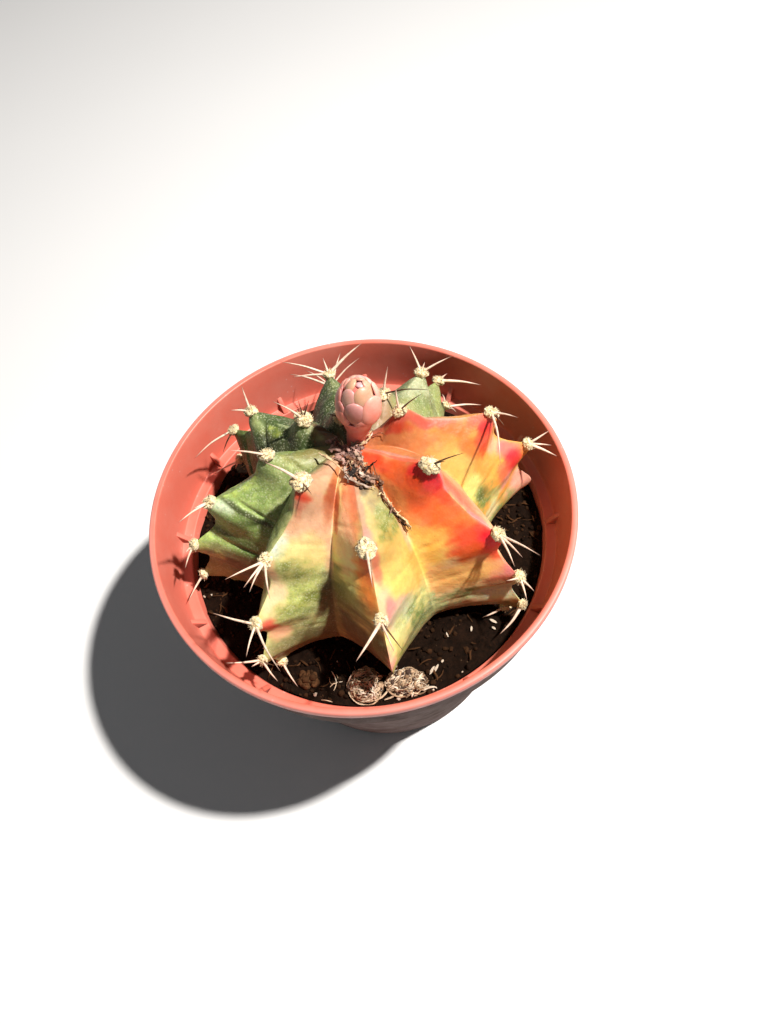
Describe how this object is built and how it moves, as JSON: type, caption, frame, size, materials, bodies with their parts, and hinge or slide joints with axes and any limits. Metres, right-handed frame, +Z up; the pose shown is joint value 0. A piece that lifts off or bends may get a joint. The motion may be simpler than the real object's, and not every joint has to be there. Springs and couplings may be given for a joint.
{
  "type": "potted cactus",
  "caption": "Ribbed cactus with woolly areoles, curved spines and a flower bud, growing in soil in a tapered round nursery pot.",
  "frame": {"origin": "middle of the pot's foot, on the surface it stands on", "axes": "+Z up; the rib at the front of the plant points to -Y; +X to the right of that view"},
  "size_m": [0.102, 0.102, 0.122],
  "materials": {
    "terracotta_plastic": "satin moulded polypropylene",
    "potting_soil": "damp crumbly",
    "cactus_skin": "variegated waxy",
    "bud_scale": "smooth waxy",
    "dry_husk": "dry papery",
    "dry_root": "dry fibrous"
  },
  "bodies": {
    "root": {"pot": "terracotta_plastic", "soil": "potting_soil", "cactus_body": "cactus_skin", "flower_bud": "bud_scale", "dried_flower_remains": "dry_husk", "root_tangle": "dry_root"}
  },
  "joints": []
}
